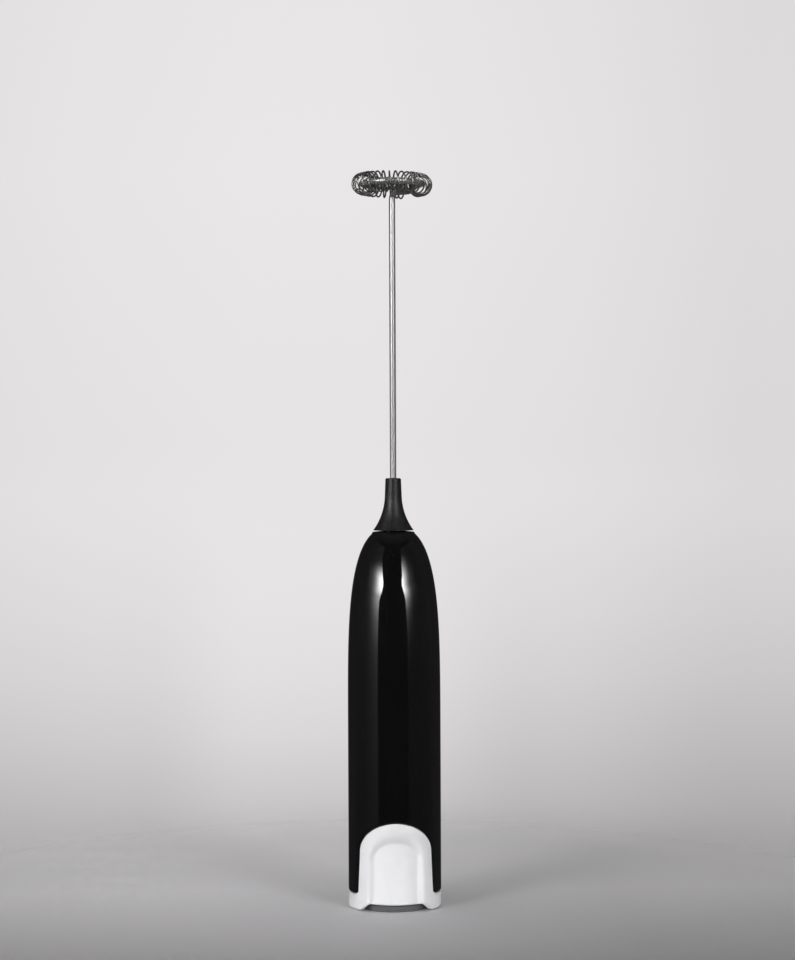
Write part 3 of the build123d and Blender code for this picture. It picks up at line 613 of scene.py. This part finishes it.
def coil_point(share):
    """A point of the whisk's coil, from one end of the spring to the other."""
    angle = math.radians(coil_angle(share))
    turn = 2 * math.pi * COIL_TURNS * share
    from_start = COIL_TURNS * share
    from_end = COIL_TURNS * (1 - share)
    grip = max(1 - ease(from_start / COIL_GRIP_TURNS), 1 - ease(from_end / COIL_GRIP_TURNS))
    sag = COIL_SAG * (1 + math.cos(angle)) + COIL_END_SAG * (1 - ease_between(from_end, (1, 4)))
    wobble = COIL_WOBBLE * math.sin(turn * 0.37 + 1.3)
    wide = COIL_R + wobble + (COIL_GRIP_R - COIL_R - wobble) * grip
    radius = RING_R + wide * math.cos(turn)
    height = RING_Z + wide * math.sin(turn) - sag * (1 - grip)
    return Vector((radius * math.cos(angle), radius * math.sin(angle), height))


def make_whisk_coil(material):
    """The spring on the ring, as one wire from end to end."""
    curve = bpy.data.curves.new("whisk_coil_wire", "CURVE")
    curve.dimensions = "3D"
    curve.bevel_depth = COIL_WIRE_R
    curve.bevel_resolution = 3
    curve.use_fill_caps = True
    steps = COIL_TURNS * 28
    spline = curve.splines.new("POLY")
    spline.points.add(steps)
    for k in range(steps + 1):
        spline.points[k].co = (*coil_point(k / steps), 1)
    spline.use_smooth = True
    route = add_object("whisk_coil_wire", curve)
    graph = bpy.context.evaluated_depsgraph_get()
    mesh = bpy.data.meshes.new_from_object(route.evaluated_get(graph))
    bpy.data.objects.remove(route)
    for polygon in mesh.polygons:
        polygon.use_smooth = True
    mesh.materials.clear()
    mesh.materials.append(material)
    coil = add_object("whisk_coil_spring", mesh)
    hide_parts("whisk_coil")
    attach(coil, "whisk")


# ---------------------------------------------------------------- CAD nodes


def dress_cad_nodes(materials):
    """Gives each CAD node the material of its slot."""
    for part in frame["record"]["subparts"]:
        node = frame["nodes"][part["node"]]
        node.data.materials.clear()
        node.data.materials.append(materials[part["material_slot"]])


# ---------------------------------------------------------------- camera, light and stage

CAMERA_DISTANCE = 0.840
CAMERA_HEIGHT = 0.16215
CAMERA_ANGLES = (-1.5, 0.103, 0.883, -0.25)  # round the object, aim to the right, tip down, roll, in degrees


def make_camera():
    """Long lens a little to the left of the front, at the height of the rod's foot."""
    data = bpy.data.cameras.new("camera")
    data.lens = 90
    data.sensor_width = 36
    data.clip_start = 0.01
    data.clip_end = 100
    camera = add_object("camera", data)
    side, aim_right, tip_down, roll = (math.radians(angle) for angle in CAMERA_ANGLES)
    camera.location = (CAMERA_DISTANCE * math.sin(side), -CAMERA_DISTANCE * math.cos(side), CAMERA_HEIGHT)
    turn = Matrix.Rotation(side - aim_right, 4, "Z") @ Matrix.Rotation(math.pi / 2 - tip_down, 4, "X")
    camera.rotation_euler = (turn @ Matrix.Rotation(roll, 4, "Z")).to_euler()
    bpy.context.scene.camera = camera


def make_world():
    """Pale paper for the camera with painted shade and a painted pool of light, soft light for the surfaces
    and a dark studio for the reflections.

    Six lower stops of the tall ramp follow rows that a separate script sampled in the photo, then adjusted
    by hand.
    """
    world = bpy.data.worlds.new("studio")
    bpy.context.scene.world = world
    world.use_nodes = True
    tree = world.node_tree
    tree.nodes.clear()
    output = tree.nodes.new("ShaderNodeOutputWorld")
    toward = split_coords(tree, "Generated")
    path = tree.nodes.new("ShaderNodeLightPath")

    # Painted shade on the backdrop: darker towards the bottom and the sides, and below the horizon a painted
    # pool of light a little left of the middle.
    rise = map_range(tree, toward["Z"], -0.22, 0.22)
    tall = ramp_node(tree, rise, ((0.0, 0.24), (0.055, 0.34), (0.11, 0.47), (0.17, 0.60), (0.225, 0.70),
                                  (0.28, 0.755), (0.34, 0.785), (0.42, 0.80), (0.5, 0.79), (0.75, 0.815),
                                  (1.0, 0.80)))
    across = map_range(tree, toward["X"], -0.17, 0.17)
    wide = ramp_node(tree, across, ((0.0, 0.93), (0.2, 0.975), (0.4, 1.0), (0.55, 1.0), (0.8, 0.955),
                                    (1.0, 0.89)))
    pool = ramp_node(tree, across, ((0.0, 0.83), (0.26, 0.89), (0.41, 1.0), (0.56, 0.985), (0.75, 0.84),
                                    (1.0, 0.74)), "EASE")
    low_down = map_range(tree, toward["Z"], -0.02, -0.12)
    shade = tree.nodes.new("ShaderNodeMix")
    shade.data_type = "RGBA"
    tree.links.new(low_down, shade.inputs["Factor"])
    tree.links.new(wide, shade.inputs["A"])
    tree.links.new(pool, shade.inputs["B"])
    seen = tree.nodes.new("ShaderNodeBackground")
    warm = tree.nodes.new("ShaderNodeVectorMath")
    warm.operation = "MULTIPLY"
    warm.inputs[1].default_value = (1.0, 0.975, 0.98)
    tree.links.new(shade.outputs["Result"], warm.inputs[0])
    tree.links.new(warm.outputs["Vector"], seen.inputs["Color"])
    tree.links.new(tall, seen.inputs["Strength"])

    soft = tree.nodes.new("ShaderNodeBackground")
    soft.inputs["Color"].default_value = (1.0, 0.99, 0.985, 1)
    soft.inputs["Strength"].default_value = 0.365

    mirrored = tree.nodes.new("ShaderNodeBackground")
    depth = map_range(tree, toward["Y"], -1.0, 1.0)
    level = ramp_node(tree, depth, ((0.0, 0.05), (0.35, 0.05), (0.67, 0.10), (0.77, 0.08), (0.88, 0.05),
                                    (0.95, 0.035), (0.975, 0.05), (1.0, 0.50)))
    below = map_range(tree, toward["Z"], -0.35, -0.80, 0.0, 0.12, "SMOOTHSTEP")
    above = map_range(tree, toward["Z"], 0.75, 1.0, 0.0, 0.12, "SMOOTHSTEP")
    poles = math_node(tree, "ADD", below, above)
    tree.links.new(math_node(tree, "ADD", level, poles), mirrored.inputs["Strength"])

    by_gloss = tree.nodes.new("ShaderNodeMixShader")
    tree.links.new(path.outputs["Is Glossy Ray"], by_gloss.inputs[0])
    tree.links.new(soft.outputs[0], by_gloss.inputs[1])
    tree.links.new(mirrored.outputs[0], by_gloss.inputs[2])
    by_camera = tree.nodes.new("ShaderNodeMixShader")
    tree.links.new(path.outputs["Is Camera Ray"], by_camera.inputs[0])
    tree.links.new(by_gloss.outputs[0], by_camera.inputs[1])
    tree.links.new(seen.outputs[0], by_camera.inputs[2])
    tree.links.new(by_camera.outputs[0], output.inputs["Surface"])


def make_floor():
    """Pale disc that melts into the backdrop at its edge, its colour painted with shade towards the front
    and the right.
    """
    mesh = bpy.data.meshes.new("floor")
    shape = bmesh.new()
    bmesh.ops.create_circle(shape, cap_ends=True, segments=128, radius=0.62)
    shape.to_mesh(mesh)
    shape.free()
    floor = add_object("floor", mesh)
    material, tree, shader = clean_material("floor_paper")
    grain = noise(tree, 900)
    spot = split_coords(tree, "Object")
    scale = tree.nodes.new("ShaderNodeVectorMath")
    scale.operation = "SCALE"
    tree.links.new(tint(tree, grain, (0.98, 0.965, 0.985), (1.0, 0.985, 1.005)), scale.inputs[0])
    # Painted shade: the floor's colour is darker towards the front and towards the right.
    back = map_range(tree, spot["Y"], -0.12, 0.03, 0.30, 0.62)
    right = map_range(tree, spot["X"], -0.02, 0.08, 1.0, 0.78)
    tree.links.new(math_node(tree, "MULTIPLY", back, right), scale.inputs["Scale"])
    tree.links.new(scale.outputs["Vector"], shader.inputs["Base Color"])
    tree.links.new(spread(tree, grain, 0.75, 0.9), shader.inputs["Roughness"])
    coords = tree.nodes.new("ShaderNodeTexCoord")
    length = tree.nodes.new("ShaderNodeVectorMath")
    length.operation = "LENGTH"
    tree.links.new(coords.outputs["Object"], length.inputs[0])
    fade = map_range(tree, length.outputs["Value"], 0.03, 0.30, 1.0, 0.0, "SMOOTHERSTEP")
    tree.links.new(fade, shader.inputs["Alpha"])
    mesh.materials.append(material)
    floor.visible_glossy = False


CARD_DISTANCE = 4.0
CARD_MID_Z = 0.1
CARD_LOW = -0.4
CARD_HIGH = 1.1
CARD_INNER = 16.0
CARD_OUTER = 110.0


def glow_card(name, side, edge, power, fade, base, dim):
    """Curved light card to the left (side -1) or right (side 1), for reflections and soft light.

    Heights are slopes seen from the object. edge is the lamp's inner edge, as (slope, azimuth from the
    front), power its glow there, as (slope, radiance), and fade how the glow falls off outwards from that
    edge, as (degrees, share). base is a faint glow of the whole card, as (azimuth, radiance), and dim its
    share by height, as (slope, share).
    """
    steps = 48
    verts, faces = [], []
    for k in range(steps + 1):
        angle = math.radians(CARD_INNER + (CARD_OUTER - CARD_INNER) * k / steps)
        for slope in (CARD_LOW, CARD_HIGH):
            z = CARD_MID_Z + CARD_DISTANCE * slope
            verts.append((side * CARD_DISTANCE * math.sin(angle), -CARD_DISTANCE * math.cos(angle), z))
    for k in range(steps):
        faces.append((2 * k, 2 * k + 2, 2 * k + 3, 2 * k + 1))
    mesh = bpy.data.meshes.new(name)
    mesh.from_pydata(verts, [], faces)
    uv = mesh.uv_layers.new(name="span")
    for loop in mesh.loops:
        uv.data[loop.index].uv = (loop.vertex_index // 2 / steps, loop.vertex_index % 2)
    card = add_object(name, mesh)
    material = bpy.data.materials.new(name)
    material.use_nodes = True
    tree = material.node_tree
    tree.nodes.clear()
    output = tree.nodes.new("ShaderNodeOutputMaterial")
    glow = tree.nodes.new("ShaderNodeEmission")
    on_card = split_coords(tree, "UV")
    across, up = on_card["X"], on_card["Y"]
    span = CARD_HIGH - CARD_LOW
    reach = CARD_OUTER - CARD_INNER
    top_power = max(value for _, value in power)
    edge_stops = [((slope - CARD_LOW) / span, (azimuth - CARD_INNER) / reach) for slope, azimuth in edge]
    edge_at = ramp_node(tree, up, edge_stops)
    power_stops = [((slope - CARD_LOW) / span, value / top_power) for slope, value in power]
    power_at = ramp_node(tree, up, power_stops)
    beyond = math_node(tree, "SUBTRACT", across, edge_at)
    fade_at = ramp_node(tree, beyond, [(degrees / reach, share) for degrees, share in fade])
    lamp_at = math_node(tree, "MULTIPLY", math_node(tree, "MULTIPLY", power_at, fade_at), top_power)
    base_at = ramp_node(tree, across, [((azimuth - CARD_INNER) / reach, value) for azimuth, value in base])
    dim_at = ramp_node(tree, up, [((slope - CARD_LOW) / span, share) for slope, share in dim])
    faint_at = math_node(tree, "MULTIPLY", base_at, dim_at)
    tree.links.new(math_node(tree, "ADD", lamp_at, faint_at), glow.inputs["Strength"])
    tree.links.new(glow.outputs[0], output.inputs["Surface"])
    mesh.materials.append(material)
    card.visible_camera = False
    card.visible_shadow = False


def make_lights():
    """A tall lamp on each side, and soft lights that show in no reflection.

    Most edge and power stops come from rows that a separate script measured in the photo, then adjusted
    by hand.
    """
    glow_card(
        "card_left", -1,
        edge=((-0.4, 43), (-0.15, 43), (-0.08, 42.3), (0.0, 41.4), (0.085, 41), (0.134, 40.2),
              (0.166, 37.3), (0.203, 33.3), (0.243, 31), (0.283, 31.2), (0.33, 33.2), (0.40, 35.6),
              (0.47, 37), (0.7, 41), (1.1, 44)),
        power=((-0.2, 0.0), (-0.153, 0.03), (-0.133, 0.09), (-0.103, 0.17), (-0.078, 0.26),
               (-0.038, 0.5), (0.0, 1.1), (0.044, 1.9), (0.085, 3.5), (0.134, 6.4), (0.166, 9),
               (0.203, 25), (0.25, 36), (0.30, 34), (0.335, 24), (0.40, 8.5), (0.47, 1.7), (0.55, 0.25),
               (0.7, 0.05), (1.1, 0.0)),
        fade=((0, 0), (1.2, 1), (4, 0.97), (10, 0.70), (15, 0.46), (20, 0.24), (25, 0.115), (31, 0.045),
              (38, 0.017), (52, 0)),
        base=((16, 0.05), (41, 0.05), (42.5, 0.20), (62, 0.20), (72, 0.17), (80, 0.14), (100, 0.11),
              (110, 0.10)),
        dim=((-0.16, 0.72), (-0.1, 0.85), (0.0, 1.0)),
    )
    glow_card(
        "card_right", 1,
        edge=((-0.4, 33), (0.0, 32), (0.09, 30.3), (0.143, 29.4), (0.175, 27.6), (0.21, 24.6),
              (0.252, 21.3), (0.30, 21.5), (0.355, 23.3), (0.419, 23.8), (0.5, 24), (0.6, 25.5),
              (1.1, 30)),
        power=((-0.1, 0.0), (-0.037, 0.05), (0.0, 0.2), (0.049, 0.6), (0.091, 1.5), (0.143, 5.2),
               (0.175, 12.8), (0.21, 25), (0.252, 28), (0.30, 27), (0.355, 18), (0.419, 11),
               (0.499, 5.3), (0.60, 1.5), (0.736, 0.2), (1.1, 0.0)),
        fade=((0, 0), (1.2, 1), (3, 1), (9, 0.55), (14, 0.27), (18, 0.12), (23, 0.045), (28, 0.02),
              (38, 0.004), (46, 0)),
        base=((16, 0.05), (32, 0.05), (35, 0.115), (80, 0.12), (110, 0.11)),
        dim=((-0.16, 0.68), (-0.1, 0.78), (0.0, 1.0)),
    )
    soft_lamp("overhead", place=(-0.2, -0.1, 1.3), tilt=(-4, -9, 0), size=1.2, power=4.0)
    soft_lamp("fill_left", place=(-1.0, -0.84, 0.5), tilt=(70, 0, -50), size=0.8, power=1.1)
    soft_lamp("fill_right", place=(1.0, -0.84, 0.5), tilt=(70, 0, 50), size=0.8, power=2.6)


def soft_lamp(name, place, tilt, size, power):
    """Square soft light that shows in no reflection."""
    data = bpy.data.lights.new(name, "AREA")
    data.shape = "SQUARE"
    data.size = size
    data.energy = power
    lamp = add_object(name, data)
    lamp.location = place
    lamp.rotation_euler = [math.radians(angle) for angle in tilt]
    lamp.visible_glossy = False
    lamp.visible_camera = False


# ---------------------------------------------------------------- build

MATERIALS = make_materials()
make_camera()
make_world()
make_floor()
make_lights()
dress_cad_nodes(MATERIALS)
make_handle_shell(MATERIALS["shell_black"])
# The button's lip gets the shell's black as painted shadow in the slot above the pad.
make_thumb_button(MATERIALS["button_white"], MATERIALS["shell_black"])
make_whisk_coil(MATERIALS["coil_wire"])
bpy.context.scene.view_settings.view_transform = "Standard"
